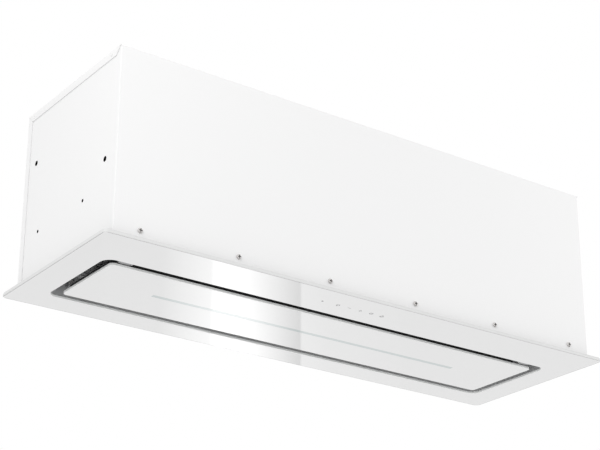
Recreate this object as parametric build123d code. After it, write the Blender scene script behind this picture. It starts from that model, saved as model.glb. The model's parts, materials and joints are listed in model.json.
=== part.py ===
from build123d import *
import os
from math import cos, exp, pi, radians, sin

# A ceiling range hood, in millimetres. X runs along its length, Y points away from the side with
# the touch controls, Z is up. Z = 0 is the ceiling plane, which the back of the flange lies against.

# Glass frame against the ceiling, and the glass panel that hangs in its opening
frame_length = 1000.0
frame_depth = 332.0
frame_corner = 8.0
glass = 4.0
glass_bevel = 0.8
border_side = 53.5
border_front = 89.0
border_rear = 51.0
opening_corner = 18.0
slot = 18.0
panel_corner = 7.0

# Sheet-metal casing: front and sides in one sheet, then the rear and the top with their lips
flange_ends = 21.0
flange_sides = 14.5
casing_height = 312.0
sheet = 1.2
bend = 2.2
lip = 13.0
mitre_gap = 0.4
rivet_radius = 1.6
rivet_head_radius = 2.4
rivet_head_height = 0.8
rivet_tail = 2.0
rivet_round_share = 3 / 4
rivet_front_inset = 28.0
rivet_rear_inset = 17.0

# Holes in the sides for hanging brackets
large_hole_radius = 4.5
large_rear_hole = (115.5, 215.0)
large_front_hole = (-117.0, 133.0)
small_hole_radius = 2.8
small_hole_height = 88.0
small_hole_y = (-52.6, 94.1)

# Steel carrier frame behind the glass, its upstand inside the casing, and the screws between them
carrier_plate = 2.0
upstand_height = 30.0
upstand_sheet = 1.5
upstand_corner = 4.0
foot_height = 0.6
foot_edge = 1.0
screws_per_side = 6
screw_inset = 45.5
screw_height = 16.0
screw_radius = 2.0
screw_head_radius = 4.2
screw_head_height = 2.6
screw_length = 9.0
screw_round_share = 2 / 3
recess_share = 2 / 3
recess_width = 1.5
recess_depth = 1.4
hole_clearance = 0.1

# Grey liner round the recess, and the shelf that it carries
liner_setback = 1.0
liner_sheet = 1.2
shelf_height = 48.0
shelf_sheet = 1.2
shelf_flange = 12.0

# Tray behind the glass panel
tray_inset = 8.0
tray_sheet = 1.0
tray_height = 10.0
tray_corner = 4.0
notch_clearance = 1.5

# Light in the middle of the panel
light_end = 118.5
light_width = 8.6
light_recess = 0.1
light_foot = 1.2
light_foot_thickness = 1.5
channel_wall = 1.5
channel_height = 10.0
channel_end = 5.0
channel_flange = 7.0
light_board_thickness = 1.2
light_chips = 24
chip_length = 3.5
chip_width = 2.8
chip_height = 0.8

# Panel hinges
hinge_inset = 22.5
hinge_width = 24.0
hinge_setback = 3.0
hinge_rise = 10.0
knuckle_radius = 5.0
pin_radius = 2.0
pin_head_radius = 3.4
pin_head = 1.2
ear = 3.0
side_play = 0.5
pin_fit = 0.03
running_fit = 0.06
bracket_plate = 2.0
bracket_drop = 1.5
bracket_height = 24.0
leaf_thickness = 2.0
leaf_foot = 28.0
bracket_screw_rise = 10.0
bracket_screw_spacing = 12.0
bracket_screw_length = 4.5

# Magnetic catches at the rear of the panel
magnet_radius = 7.0
magnet_thickness = 6.0
catch_gap = 0.3
catch_arm_width = 14.0
catch_arm = 2.0
catch_flange = 14.0
catch_screw_rise = 8.0
striker_size = 18.0
striker_sheet = 1.0

# Grease filters, their rails and their sliding catches
filter_end = 19.5
filter_spacing = 14.0
filter_front_gap = 16.0
filter_rear_gap = 6.0
filter_rest = 10.5
filter_border = 12.0
filter_front_border = 20.0
filter_floor = 1.2
filter_corner = 6.0
filter_rib = 3.0
filter_ribs = 4
mesh_inset = 1.5
rail_sheet = 1.2
rail_end = 22.5
rear_ledge = 12.0
front_ledge = 10.0
seat_gap = 0.3
catch_width = 34.0
catch_length = 22.0
catch_thickness = 2.2
catch_play = 0.2
catch_reach = 10.0
catch_travel = 6.0
tab_width = 18.0
tab_thickness = 3.0
tab_drop = 7.0
window_inset = 10.0
window_corner = 8.0

# Blower: scroll, wheel, motor
axis_y = -28.0
scroll_floor = 21.3
scroll_width = 130.0
scroll_gaps = 119.0
tongue_angle = 70.0
spiral_growth_share = 0.105
spiral_points = 17
tongue_round = 5.0
inlet_lap = 1.0
inlet_round = 8.0
wheel_gap = 6.0
blade_depth = 13.0
wheel_width = 100.0
blades = 32
blade_sheet = 1.0
blade_sweep = 12.0
blade_belly = 2.5
wheel_disc = 1.6
wheel_ring = 2.0
wheel_ring_width = 6.0
hub_radius = 12.0
hub_left = 10.0
hub_right = 14.0
shaft_radius = 4.0
motor_gap = 23.0
motor_left = 82.0
motor_right = 20.0
motor_boss_radius = 14.0
motor_boss = 5.0
motor_round = 6.0
shaft_left = 90.0
shaft_right = 19.0
spider_sheet = 2.0
spider_arm_width = 14.0
spider_margin = 14.0
spider_arms = 3
spider_turn = 270.0
hanger_width = 60.0
hanger_gap = 18.8
hanger_foot = 26.0
hanger_sheet = 2.0

# Outlet collar on the top, with its two damper flaps
spigot_radius = 75.0
spigot_wall = 2.0
spigot_height = 30.0
collar_flange_width = 11.0
collar_flange = 2.0
collar_screws = 4
collar_screw_radius = 1.6
collar_screw_head = 3.2
collar_screw_head_height = 1.8
collar_screw_length = 7.7
rod_radius = 1.5
rod_rise = 12.0
rod_inset = 0.6
flap_sheet = 1.2
flap_gap = 0.6
flap_knuckle = 3.0
flap_knuckle_length = 20.0
flap_knuckle_places = (-50.0, 15.0)
ledge_width = 2.5
ledge_height = 1.5

# Touch board behind the wide border of the frame
touch_x = -18.0
touch_inset = 46.0
touch_length = 150.0
touch_width = 26.0
touch_board_thickness = 1.6
holder_flange = 8.0
holder_flange_thickness = 1.5
holder_height = 8.0
holder_wall = 1.5

# Electrical pieces on the shelf, and the gland on the top
box_end = 139.0
box_inset = 49.5
box_length = 200.0
box_depth = 84.0
box_height = 46.0
box_sheet = 1.2
box_corner = 2.4
board_inset = 12.0
board_rise = 6.0
board_thickness = 1.6
board_post = 3.0
relay_size = 18.0
relay_height = 16.0
coil_radius = 14.0
coil_height = 22.0
part_spread = 50.0
capacitor_x = 150.0
capacitor_inset = 33.5
capacitor_radius = 17.5
capacitor_height = 62.0
capacitor_round = 2.4
clip_wall = 1.2
clip_height = 14.0
clip_rise = 20.0
clip_foot = 16.0
driver_end = 179.0
driver_inset = 46.5
driver_length = 130.0
driver_depth = 42.0
driver_height = 24.0
driver_round = 3.0
driver_ear = 12.0
driver_ear_width = 21.0
driver_ear_thickness = 3.0
gland_end = 139.0
gland_inset = 91.5
gland_thread_radius = 8.0
gland_bore_radius = 4.0
gland_hex_radius = 12.0
gland_hex = 6.0
hex_sides = 6
gland_dome = 14.0
gland_dome_radius = 10.5
gland_round = 5.25
gland_tail = 9.0
gland_nut = 4.0

# How far a cut runs past the face that it leaves
overrun = 1.0

# Planes and edges that several pieces share
casing_length = frame_length - 2 * flange_ends
casing_depth = frame_depth - 2 * flange_sides
screw_spacing = (casing_length - 2 * screw_inset) / (screws_per_side - 1)
opening_length = frame_length - 2 * border_side
opening_depth = frame_depth - border_front - border_rear
opening_y = (border_front - border_rear) / 2
panel_length = opening_length - 2 * slot
panel_depth = opening_depth - 2 * slot
glass_back = -carrier_plate
glass_face = glass_back - glass
liner_length = opening_length + 2 * liner_setback
liner_depth = opening_depth + 2 * liner_setback
liner_front = opening_y - liner_depth / 2
liner_rear = opening_y + liner_depth / 2
panel_front = opening_y - panel_depth / 2
panel_rear = opening_y + panel_depth / 2
hinge_x = panel_length / 2 - hinge_inset
hinge_places = (-hinge_x, hinge_x)
light_length = panel_length - 2 * light_end
hinge_y = panel_front - hinge_setback
hinge_z = glass_face + hinge_rise
tray_front = panel_front + tray_inset
tray_rear = panel_rear - tray_inset
tray_top = glass_back + tray_height
inner_length = casing_length - 2 * sheet
inner_depth = casing_depth - 2 * sheet
lid_back = casing_height - sheet
shelf_top = shelf_height + shelf_sheet
filter_top = shelf_height - catch_gap - seat_gap
filter_z = shelf_height - filter_rest
filter_front = liner_front + filter_front_gap
filter_rear = liner_rear - filter_rear_gap
filter_depth = filter_rear - filter_front
filter_y = (filter_front + filter_rear) / 2
side_names = ("left", "right")
filter_names = ("left", "middle", "right")
filters = len(filter_names)
filter_row = liner_length - 2 * filter_end
filter_length = (filter_row - (filters - 1) * filter_spacing) / filters
filter_places = [(filter_length + filter_spacing) * place for place in (-1, 0, 1)]
rail_length = liner_length - 2 * rail_end
spiral_sides = (pi / 2, pi, 3 * pi / 2, 2 * pi)
spiral_start = radians(tongue_angle)
spiral_reaches = sum(exp(spiral_growth_share * (side - spiral_start)) for side in spiral_sides)
tongue_radius = (inner_depth + lid_back - shelf_top - scroll_gaps) / spiral_reaches
scroll_drop = tongue_radius * exp(spiral_growth_share * (3 * pi / 2 - spiral_start))
axis_z = shelf_top + scroll_floor + sheet + scroll_drop
wheel_radius = tongue_radius - wheel_gap
blade_root_radius = wheel_radius - blade_depth
inlet_radius = blade_root_radius + inlet_lap
motor_radius = blade_root_radius - motor_gap
spider_radius = inlet_radius + inlet_round + spider_margin
hanger_drop = lid_back - axis_z - motor_radius - hanger_gap
collar_flange_radius = spigot_radius + collar_flange_width
touch_y = touch_inset - frame_depth / 2
box_x = box_end - casing_length / 2
box_y = box_inset - casing_depth / 2
capacitor_y = casing_depth / 2 - capacitor_inset
driver_x = casing_length / 2 - driver_end
driver_y = driver_inset - casing_depth / 2
gland_x = gland_end - casing_length / 2
gland_y = casing_depth / 2 - gland_inset


def block(x0, x1, y0, y1, z0, z1):
    """A box between two corners."""
    middle = Pos((x0 + x1) / 2, (y0 + y1) / 2, (z0 + z1) / 2)
    return middle * Box(abs(x1 - x0), abs(y1 - y0), abs(z1 - z0))


def slab(length, depth, corner, z0, z1, x=0, y=0):
    """A plate with rounded corners."""
    return Pos(x, y, z0) * extrude(RectangleRounded(length, depth, corner), z1 - z0)


def rod_x(radius, x0, x1, y, z):
    """A cylinder along X."""
    return Pos((x0 + x1) / 2, y, z) * Rot(0, 90, 0) * Cylinder(radius, abs(x1 - x0))


def rod_y(radius, y0, y1, x, z):
    """A cylinder along Y."""
    return Pos(x, (y0 + y1) / 2, z) * Rot(90, 0, 0) * Cylinder(radius, abs(y1 - y0))


def rod_z(radius, z0, z1, x, y):
    """A cylinder along Z."""
    return Pos(x, y, (z0 + z1) / 2) * Cylinder(radius, abs(z1 - z0))


def side_prism(points, x0, x1):
    """A shape drawn in Y and Z, as thick as from x0 to x1."""
    return Pos(x0, 0, 0) * extrude(Plane.YZ * make_face(Polyline(*points, close=True)), x1 - x0)


def pan_screw(head_radius, head_height, radius, length):
    """A pan-head screw with a cross recess, its head up and its shank down."""
    head = Pos(0, 0, head_height / 2) * Cylinder(head_radius, head_height)
    head = fillet(head.edges().sort_by(Axis.Z)[-1], head_height * screw_round_share)
    arm = head_radius * recess_share
    cut = Pos(0, 0, head_height - recess_depth / 2)
    for length_x, length_y in ((2 * arm, recess_width), (recess_width, 2 * arm)):
        head -= cut * Box(length_x, length_y, recess_depth)
    return head + Pos(0, 0, -length / 2) * Cylinder(radius, length)


def screw_places():
    """Where the fixing screws sit along the casing."""
    middle = (screws_per_side - 1) / 2
    return [(number - middle) * screw_spacing for number in range(screws_per_side)]


def casing_wrap():
    """Front and sides in one folded sheet."""
    outer = Pos(0, -sheet / 2) * Rectangle(casing_length, casing_depth - sheet)
    outer = fillet(outer.vertices().group_by(Axis.Y)[0], bend)
    inner = Pos(0, sheet / 2) * Rectangle(inner_length, casing_depth - sheet)
    inner = fillet(inner.vertices().group_by(Axis.Y)[0], bend - sheet)
    wrap = Pos(0, 0, foot_height) * extrude(outer - inner, lid_back - foot_height)
    for x in screw_places():
        hole = screw_radius + hole_clearance
        wrap -= rod_y(hole, -casing_depth / 2 - overrun, -inner_depth / 2 + overrun, x, screw_height)
    far = casing_length / 2 + overrun
    for y, z in (large_rear_hole, large_front_hole):
        wrap -= rod_x(large_hole_radius, -far, far, y, z)
    for y in small_hole_y:
        wrap -= rod_x(small_hole_radius, -far, far, y, small_hole_height)
    for y in rivet_places():
        wrap -= rod_x(rivet_radius + hole_clearance, -far, far, y, casing_height - lip / 2)
    return wrap


def rivet_places():
    """Where the rivets sit along a lip of the top panel."""
    return (-casing_depth / 2 + rivet_front_inset, casing_depth / 2 - rivet_rear_inset)


def rear_panel():
    """Rear sheet with lips that wrap the sides and meet the top panel's in a mitre."""
    rear = casing_depth / 2
    half = casing_length / 2
    panel = block(-half, half, inner_depth / 2, rear, foot_height, lid_back)
    outline = [
        (rear - lip, foot_height),
        (rear, foot_height),
        (rear, casing_height - mitre_gap),
        (rear - lip, casing_height - lip - mitre_gap),
    ]
    for x0, x1 in ((-half - sheet, -half), (half, half + sheet)):
        panel += side_prism(outline, x0, x1)
    for x in screw_places():
        hole = screw_radius + hole_clearance
        panel -= rod_y(hole, inner_depth / 2 - overrun, rear + overrun, x, screw_height)
    return panel


def top_panel():
    """Top sheet with lips turned down over the sides, mitred at both ends."""
    front, rear = -casing_depth / 2, casing_depth / 2
    half = casing_length / 2
    panel = block(-half, half, front, rear, lid_back, casing_height)
    low = casing_height - lip
    outline = [(front, casing_height), (front + lip, low), (rear - lip, low), (rear, casing_height)]
    for x0, x1 in ((-half - sheet, -half), (half, half + sheet)):
        panel += side_prism(outline, x0, x1)
    far = half + sheet + overrun
    for y in rivet_places():
        panel -= rod_x(rivet_radius + hole_clearance, -far, far, y, casing_height - lip / 2)
    bore = spigot_radius - spigot_wall
    panel -= rod_z(bore, lid_back - overrun, casing_height + overrun, 0, collar_y())
    for x, y in collar_screw_places():
        hole = collar_screw_radius + hole_clearance
        panel -= rod_z(hole, lid_back - overrun, casing_height + overrun, x, y)
    hole = gland_thread_radius + hole_clearance
    panel -= rod_z(hole, lid_back - overrun, casing_height + overrun, gland_x, gland_y)
    return panel


def lid_rivets():
    """Four blind rivets that hold the top panel's lips to the sides."""
    rivets = []
    for turn, x in ((-90, -casing_length / 2 - sheet), (90, casing_length / 2 + sheet)):
        for y in rivet_places():
            head = Pos(0, 0, rivet_head_height / 2) * Cylinder(rivet_head_radius, rivet_head_height)
            head = fillet(head.edges().sort_by(Axis.Z)[-1], rivet_head_height * rivet_round_share)
            grip = 2 * sheet
            shank = Pos(0, 0, -grip / 2) * Cylinder(rivet_radius, grip)
            tail = Pos(0, 0, -grip - rivet_tail / 2) * Cylinder(rivet_head_radius, rivet_tail)
            place = Pos(x, y, casing_height - lip / 2) * Rot(0, turn, 0)
            rivets.append(place * (head + shank + tail))
    return rivets


def carrier_frame():
    """Steel ring behind the glass, with the upstand that the casing is screwed to."""
    length, depth = frame_length - 2 * glass_bevel, frame_depth - 2 * glass_bevel
    ring = slab(length, depth, frame_corner, glass_back, 0)
    side, front = casing_length / 2 + sheet + foot_edge, casing_depth / 2 + foot_edge
    ring += block(-side, side, -front, front, 0, foot_height)
    upstand = slab(inner_length, inner_depth, upstand_corner, 0, upstand_height)
    hollow = inner_length - 2 * upstand_sheet, inner_depth - 2 * upstand_sheet
    frame = ring + upstand
    frame -= slab(*hollow, upstand_corner - upstand_sheet, 0, upstand_height + overrun)
    cut = liner_length + 2 * liner_sheet, liner_depth + 2 * liner_sheet
    corner = opening_corner + liner_setback + liner_sheet
    frame -= slab(*cut, corner, glass_back - overrun, overrun, y=opening_y)
    far = casing_depth / 2
    for x in screw_places():
        frame -= rod_y(screw_radius + hole_clearance, -far, far, x, screw_height)
    x, y = touch_x, touch_y
    return frame - block(
        x - touch_length / 2, x + touch_length / 2,
        y - touch_width / 2, y + touch_width / 2, glass_back - overrun, overrun,
    )


def glass_frame():
    """Glass ring that lies under the ceiling, its edges ground to a small bevel."""
    ring = slab(frame_length, frame_depth, frame_corner, glass_face, glass_back)
    ring -= slab(opening_length, opening_depth, opening_corner,
                 glass_face - overrun, glass_back + overrun, y=opening_y)
    return chamfer(ring.faces().sort_by(Axis.Z)[0].edges(), glass_bevel)


def recess_liner():
    """Sheet-metal wall round the recess, from the glass up to the shelf."""
    corner = opening_corner + liner_setback
    outer = liner_length + 2 * liner_sheet, liner_depth + 2 * liner_sheet
    wall = slab(*outer, corner + liner_sheet, glass_back, shelf_height, y=opening_y)
    wall -= slab(liner_length, liner_depth, corner,
                 glass_back - overrun, shelf_height + overrun, y=opening_y)
    hole = screw_radius + hole_clearance
    for x in hinge_places:
        for side in (-1, 1):
            wall -= rod_y(hole, liner_front - liner_sheet - overrun, liner_front + overrun,
                          x + side * bracket_screw_spacing / 2, bracket_screw_z())
        wall -= rod_y(hole, liner_rear - overrun, liner_rear + liner_sheet + overrun,
                      x, catch_screw_z())
    return wall


def casing_screws(face):
    """A row of screws through the casing into the upstand, on the front (-1) or the rear (1)."""
    screw = pan_screw(screw_head_radius, screw_head_height, screw_radius, screw_length)
    turn = Rot(-90 * face, 0, 0)
    return [Pos(x, face * casing_depth / 2, screw_height) * turn * screw for x in screw_places()]


def panel_glass():
    """Glass panel with a long slot for the light."""
    pane = slab(panel_length, panel_depth, panel_corner, glass_face, glass_back, y=opening_y)
    pane = chamfer(pane.faces().sort_by(Axis.Z)[0].edges(), glass_bevel)
    half = light_length / 2
    return pane - block(-half, half, opening_y - light_width / 2, opening_y + light_width / 2,
                        glass_face - overrun, glass_back + overrun)


def channel_width():
    """Outer width of the light's channel."""
    return light_width + 2 * light_foot + 2 * channel_wall


def panel_tray():
    """Shallow tray glued to the back of the glass panel."""
    length, depth = panel_length - 2 * tray_inset, panel_depth - 2 * tray_inset
    tray = slab(length, depth, tray_corner, glass_back, tray_top, y=opening_y)
    hollow = length - 2 * tray_sheet, depth - 2 * tray_sheet
    corner = tray_corner - tray_sheet
    tray -= slab(*hollow, corner, glass_back + tray_sheet, tray_top + overrun, y=opening_y)
    half = light_length / 2 + channel_end + channel_wall
    wide = channel_width() / 2
    tray -= block(-half, half, opening_y - wide, opening_y + wide,
                  glass_back - overrun, tray_top)
    notch = hinge_width / 2 + notch_clearance
    for x in hinge_places:
        tray -= block(x - notch, x + notch, tray_front - overrun, tray_front + tray_sheet,
                      glass_back + tray_sheet, tray_top + overrun)
    return tray


def led_profile():
    """Aluminium channel over the light's slot, with a flange on each side of it."""
    half = light_length / 2 + channel_end + channel_wall
    wide = channel_width() / 2
    top = glass_back + channel_height
    y = opening_y
    channel = block(-half, half, y - wide, y + wide, glass_back, top)
    inner = half - channel_wall
    channel -= block(-inner, inner, y - wide + channel_wall, y + wide - channel_wall,
                     glass_back - overrun, top - channel_wall)
    flange = wide + channel_flange
    low = glass_back + tray_sheet
    for side in (-1, 1):
        channel += block(-half, half, y + side * wide, y + side * flange, low, low + channel_wall)
    return channel


def led_board():
    """Strip with the light chips, under the roof of its channel."""
    roof = glass_back + channel_height - channel_wall
    half = light_length / 2
    low = roof - light_board_thickness
    wide = light_width / 2
    board = block(-half, half, opening_y - wide, opening_y + wide, low, roof)
    for number in range(light_chips):
        x = -half + (number + 1 / 2) * light_length / light_chips
        board += block(x - chip_length / 2, x + chip_length / 2,
                       opening_y - chip_width / 2, opening_y + chip_width / 2,
                       low - chip_height, low)
    return board


def led_diffuser():
    """Opal window that fills the slot in the glass, a hair back from its face."""
    half = light_length / 2
    wide = light_width / 2
    y = opening_y
    stem = block(-half, half, y - wide, y + wide, glass_face + light_recess, glass_back)
    foot = wide + light_foot
    return stem + block(-half, half, y - foot, y + foot,
                        glass_back, glass_back + light_foot_thickness)


def bracket_screw_z():
    """Height of the screws that hold a hinge bracket."""
    return hinge_z + bracket_screw_rise


def hinge_bracket(x):
    """Plate on the liner with two ears that hold the hinge pin."""
    low = hinge_z - bracket_drop
    half = hinge_width / 2
    back = liner_front
    plate = block(x - half, x + half, back, back + bracket_plate, low, low + bracket_height)
    for side in (-1, 1):
        x0, x1 = x + side * (half - ear), x + side * half
        plate += rod_x(knuckle_radius, x0, x1, hinge_y, hinge_z)
        plate += block(x0, x1, back, hinge_y, low, hinge_z + knuckle_radius)
        plate -= rod_y(screw_radius + hole_clearance, back - overrun,
                       back + bracket_plate + overrun,
                       x + side * bracket_screw_spacing / 2, bracket_screw_z())
    far = half + overrun
    return plate - rod_x(pin_radius + pin_fit, x - far, x + far, hinge_y, hinge_z)


def hinge_leaf(x):
    """Knuckle round the pin, with an arm and a foot on the panel's tray."""
    half = hinge_width / 2 - ear - side_play
    low = glass_back + tray_sheet
    foot = tray_front + tray_sheet + leaf_foot
    leaf = rod_x(knuckle_radius, x - half, x + half, hinge_y, hinge_z)
    leaf += block(x - half, x + half, hinge_y, foot, low, low + leaf_thickness)
    far = half + overrun
    return leaf - rod_x(pin_radius + running_fit, x - far, x + far, hinge_y, hinge_z)


def hinge_pin(x):
    """Pin through the ears and the knuckle, with a head at its outer end."""
    half = hinge_width / 2
    out = 1 if x > 0 else -1
    end = x + out * half
    pin = rod_x(pin_radius, x - out * (half + pin_head), end, hinge_y, hinge_z)
    return pin + rod_x(pin_head_radius, end, end + out * pin_head, hinge_y, hinge_z)


def catch_screw_z():
    """Height of the screw that holds a magnet's arm."""
    return tray_top + catch_gap + magnet_thickness + catch_arm + catch_screw_rise


def catch_y():
    """Depth at which a magnet meets its striker."""
    return tray_rear - tray_sheet - striker_size / 2


def catch_arms():
    """Two angles on the liner's rear wall that carry the magnets."""
    arms = []
    low = tray_top + catch_gap + magnet_thickness
    half = catch_arm_width / 2
    for x in hinge_places:
        arm = block(x - half, x + half, catch_y() - magnet_radius, liner_rear, low, low + catch_arm)
        arm += block(x - half, x + half, liner_rear - catch_arm, liner_rear,
                     low, low + catch_arm + catch_flange)
        arm -= rod_y(screw_radius + hole_clearance, liner_rear - catch_arm - overrun,
                     liner_rear + overrun, x, catch_screw_z())
        arms.append(arm)
    return arms


def liner_screws():
    """Screws that hold the hinge brackets and the magnets' arms to the liner."""
    screw = pan_screw(screw_head_radius, screw_head_height, screw_radius, bracket_screw_length)
    bracket_face = liner_front + bracket_plate
    arm_face = liner_rear - catch_arm
    screws = []
    for x in hinge_places:
        for side in (-1, 1):
            place = Pos(x + side * bracket_screw_spacing / 2, bracket_face, bracket_screw_z())
            screws.append(place * Rot(-90, 0, 0) * screw)
        screws.append(Pos(x, arm_face, catch_screw_z()) * Rot(90, 0, 0) * screw)
    return screws


def catch_magnets():
    """Disc magnets that hold the panel shut."""
    low = tray_top + catch_gap
    return [rod_z(magnet_radius, low, low + magnet_thickness, x, catch_y()) for x in hinge_places]


def catch_strikers():
    """Steel angles on the tray that the magnets pull on."""
    strikers = []
    rear = tray_rear - tray_sheet
    half = striker_size / 2
    for x in hinge_places:
        striker = block(x - half, x + half, rear - striker_size, rear,
                        tray_top - striker_sheet, tray_top)
        striker += block(x - half, x + half, rear - striker_sheet, rear,
                         glass_back + tray_sheet, tray_top)
        strikers.append(striker)
    return strikers


def filter_shelf():
    """Sheet above the recess with a window for each filter and edges turned up to the casing."""
    length = inner_length
    depth = inner_depth
    corner = upstand_corner
    shelf = slab(length, depth, corner, shelf_height, shelf_top + shelf_flange)
    hollow = length - 2 * shelf_sheet, depth - 2 * shelf_sheet
    shelf -= slab(*hollow, corner - shelf_sheet, shelf_top, shelf_top + shelf_flange + overrun)
    size = filter_length - 2 * window_inset, filter_depth - 2 * window_inset
    for x in filter_places:
        shelf -= slab(*size, window_corner, shelf_height - overrun, shelf_top + overrun, x, filter_y)
    return shelf


def catch_z():
    """Underside of a filter's sliding catch."""
    return filter_z + filter_floor + catch_play


def front_rail():
    """Angle on the liner's front wall whose ledge the catches rest on."""
    half = rail_length / 2
    top = catch_z() - seat_gap
    rail = block(-half, half, liner_front, liner_front + front_ledge, top - rail_sheet, top)
    return rail + block(-half, half, liner_front, liner_front + rail_sheet, top, shelf_height)


def rear_rail():
    """Angle on the liner's rear wall whose ledge the filters rest on."""
    half = rail_length / 2
    top = filter_z - seat_gap
    rail = block(-half, half, liner_rear - rear_ledge, liner_rear, top - rail_sheet, top)
    return rail + block(-half, half, liner_rear - rail_sheet, liner_rear, top, shelf_height)


def filter_frame(x):
    """Aluminium frame of a grease filter, with ribs below the mesh and a slot for its catch."""
    frame = slab(filter_length, filter_depth, filter_corner, filter_z, filter_top, x, filter_y)
    clear_length = filter_length - 2 * filter_border
    front = filter_front + filter_front_border
    rear = filter_rear - filter_border
    y = (front + rear) / 2
    frame -= slab(clear_length, rear - front, filter_corner, filter_z - overrun,
                  filter_top + overrun, x, y)
    pocket = filter_z + filter_floor
    frame -= slab(clear_length + 2 * mesh_inset, rear - front + 2 * mesh_inset, filter_corner,
                  pocket, filter_top - filter_floor, x, y)
    for number in range(filter_ribs):
        rib_x = x + clear_length * ((number + 1) / (filter_ribs + 1) - 1 / 2)
        frame += block(rib_x - filter_rib / 2, rib_x + filter_rib / 2, front, rear, filter_z, pocket)
    half = catch_width / 2 + catch_play
    high = pocket + catch_thickness + 2 * catch_play
    inner = filter_front - catch_reach + catch_length + catch_travel + catch_play
    frame -= block(x - half, x + half, filter_front - overrun, inner, pocket, high)
    tab = tab_y()
    wide = tab_width / 2 + catch_play
    return frame - block(x - wide, x + wide, tab - tab_thickness / 2 - catch_play,
                         tab + tab_thickness / 2 + catch_travel + catch_play,
                         filter_z - overrun, pocket + overrun)


def filter_mesh(x):
    """Pad of layered mesh that fills the filter's frame."""
    length = filter_length - 2 * filter_border + 2 * mesh_inset
    front = filter_front + filter_front_border - mesh_inset
    rear = filter_rear - filter_border + mesh_inset
    return slab(length, rear - front, filter_corner, filter_z + filter_floor,
                filter_top - filter_floor, x, (front + rear) / 2)


def tab_y():
    """Depth of the finger tab under a filter's catch."""
    return filter_front - catch_reach + catch_length - tab_thickness


def filter_catch(x):
    """Sliding plate whose tongue lies on the front rail, with a finger tab below."""
    low = catch_z()
    half = catch_width / 2
    front = filter_front - catch_reach
    plate = block(x - half, x + half, front, front + catch_length, low, low + catch_thickness)
    tab = tab_y()
    return plate + block(x - tab_width / 2, x + tab_width / 2, tab - tab_thickness / 2,
                         tab + tab_thickness / 2, filter_z - tab_drop, low)


def scroll_face(grow):
    """Inside of the scroll, grown by a wall: a spiral that runs out into a straight outlet."""
    start, stop = spiral_start, 2 * pi
    slope = (tongue_radius + grow) * sin(start) - spiral_growth_share * tongue_radius * cos(start)
    first = start + grow * (1 + cos(start)) / slope
    points = []
    for number in range(spiral_points):
        angle = first + (stop - first) * number / (spiral_points - 1)
        radius = tongue_radius * exp(spiral_growth_share * (angle - start)) + grow
        points.append((axis_y + radius * cos(angle), axis_z + radius * sin(angle)))
    top = lid_back + scroll_reach()
    spiral = Spline(*points)
    outlet = Polyline(points[-1], (points[-1][0], top), (points[0][0], top), points[0])
    face = make_face([spiral, outlet])
    tongue = face.vertices().sort_by_distance(Vector(*points[0]))[0]
    return fillet(tongue, tongue_round - grow)


def scroll_reach():
    """How far the scroll is drawn past the top panel before it is cut there."""
    return tongue_round


def outlet_width():
    """Depth of the scroll's outlet."""
    far = exp(spiral_growth_share * (2 * pi - spiral_start))
    return tongue_radius * (far - cos(spiral_start))


def collar_y():
    """The collar stands over the middle of the scroll's outlet."""
    near = axis_y + tongue_radius * cos(spiral_start)
    return near + outlet_width() / 2


def below_lid(shape):
    """Cut off what stands above the underside of the top panel."""
    far = casing_length
    return shape - block(-far, far, -far, far, lid_back, lid_back + far)


def blower_scroll():
    """Wall of the scroll between its two side plates."""
    strip = extrude(Plane.YZ * (scroll_face(sheet) - scroll_face(0)), scroll_width)
    return below_lid(Pos(-scroll_width / 2, 0, 0) * strip)


def blower_side(side):
    """Side plate of the blower with a rolled inlet, on the left (-1) or the right (1)."""
    x0 = side * scroll_width / 2
    plate = Pos(x0, 0, 0) * extrude(Plane.YZ * scroll_face(sheet), side * sheet)
    plate = below_lid(plate)
    mouth = inlet_radius + inlet_round
    plate -= rod_x(mouth, x0 - side * overrun, x0 + side * (sheet + overrun), axis_y, axis_z)
    outer = (sheet, mouth)
    inner = (sheet - inlet_round, inlet_radius)
    bell = [
        RadiusArc(outer, inner, inlet_round),
        Line(inner, (inner[0], inner[1] + sheet)),
        RadiusArc((inner[0], inner[1] + sheet), (0, mouth), -inlet_round + sheet),
        Line((0, mouth), outer),
    ]
    ring = revolve(make_face(bell), Axis.X)
    if side < 0:
        ring = mirror(ring, Plane.YZ)
    return plate + Pos(x0, axis_y, axis_z) * ring


def wheel_blade():
    """Outline of one blade in Y and Z, hollow towards the way the wheel turns."""
    middle = (blade_root_radius + wheel_radius) / 2
    sweep = radians(blade_sweep)
    root = (blade_root_radius, 0)
    tip = (wheel_radius * cos(sweep), wheel_radius * sin(sweep))
    lean = sweep / 2 - blade_belly / middle
    belly = (middle * cos(lean), middle * sin(lean))
    return trace(ThreePointArc(root, belly, tip), blade_sheet)


def impeller():
    """Double-inlet wheel: curved blades between two rings, on a middle disc with its hub."""
    half = wheel_width / 2
    blade = wheel_blade()
    turns = [Rot(0, 0, 360 * number / blades) for number in range(blades)]
    row = Sketch() + [turn * blade for turn in turns]
    row = Pos(-half, 0, 0) * extrude(Plane.YZ * row, wheel_width)
    disc = rod_x(wheel_radius, -wheel_disc / 2, wheel_disc / 2, 0, 0)
    parts = [rod_x(hub_radius, -hub_left, hub_right, 0, 0)]
    for side in (-1, 1):
        x0, x1 = side * (half - wheel_ring), side * half
        ring = rod_x(wheel_radius + blade_sheet, x0, x1, 0, 0)
        parts.append(ring - rod_x(wheel_radius - wheel_ring_width, x0 - side * overrun,
                                  x1 + side * overrun, 0, 0))
    wheel = disc + row + parts
    wheel -= rod_x(shaft_radius + pin_fit, -hub_left - overrun, hub_right + overrun, 0, 0)
    return Pos(0, axis_y, axis_z) * wheel


def motor_shaft():
    """Shaft through the motor and the wheel's hub."""
    return rod_x(shaft_radius, -shaft_left, shaft_right, axis_y, axis_z)


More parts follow.
